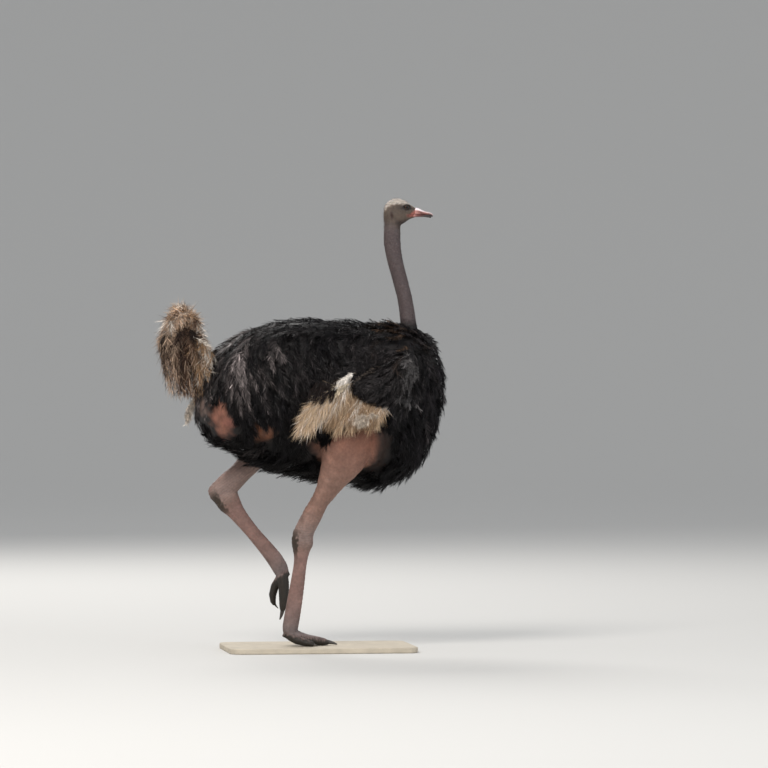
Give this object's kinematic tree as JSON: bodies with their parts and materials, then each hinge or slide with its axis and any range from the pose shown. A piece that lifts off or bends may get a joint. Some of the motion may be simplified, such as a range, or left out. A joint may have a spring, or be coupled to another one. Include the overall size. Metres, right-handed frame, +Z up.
{
  "type": "ostrich model",
  "caption": "Life-size still model of a male ostrich in mid-stride, standing on one leg with the other lifted behind, on a flat base.",
  "frame": {"origin": "centre of the base's underside, on the floor", "axes": "+X the way the bird walks and looks, +Y its left side, +Z up"},
  "size_m": [1.4991, 0.7626, 2.3072],
  "materials": {
    "black_plumage": "soft black feathers with a brown-grey bloom",
    "pale_plumage": "loose cream-white plumes",
    "tail_plumage": "weathered tan-brown plumes",
    "bare_skin": "matt pebbled bare skin, brownish pink",
    "neck_down": "short flat grey-pink down",
    "bill_horn": "satin horn, salmon pink with a dark tip",
    "eye": "wet gloss, dark brown",
    "foot_scales": "matt scales, near black",
    "claw_horn": "satin dark horn",
    "base_board": "painted board, sand coloured"
  },
  "bodies": {
    "root": {"trunk": "black_plumage", "wing_right": "black_plumage", "wing_left": "black_plumage", "wing_plumes_right": "pale_plumage", "wing_plumes_left": "pale_plumage", "undertail_tuft": "pale_plumage", "tail": "tail_plumage", "neck_lower": "neck_down", "neck_upper": "neck_down", "head": "neck_down", "eye_right": "eye", "eye_left": "eye", "bill_upper": "bill_horn", "bill_lower": "bill_horn", "thigh_right": "bare_skin", "thigh_left": "bare_skin", "tarsus_right": "bare_skin", "tarsus_left": "bare_skin", "toe_inner_right": "foot_scales", "toe_outer_right": "foot_scales", "toe_inner_left": "foot_scales", "toe_outer_left": "foot_scales", "claw_inner_right": "claw_horn", "claw_outer_right": "claw_horn", "claw_inner_left": "claw_horn", "claw_outer_left": "claw_horn", "stand_base": "base_board"}
  },
  "joints": []
}
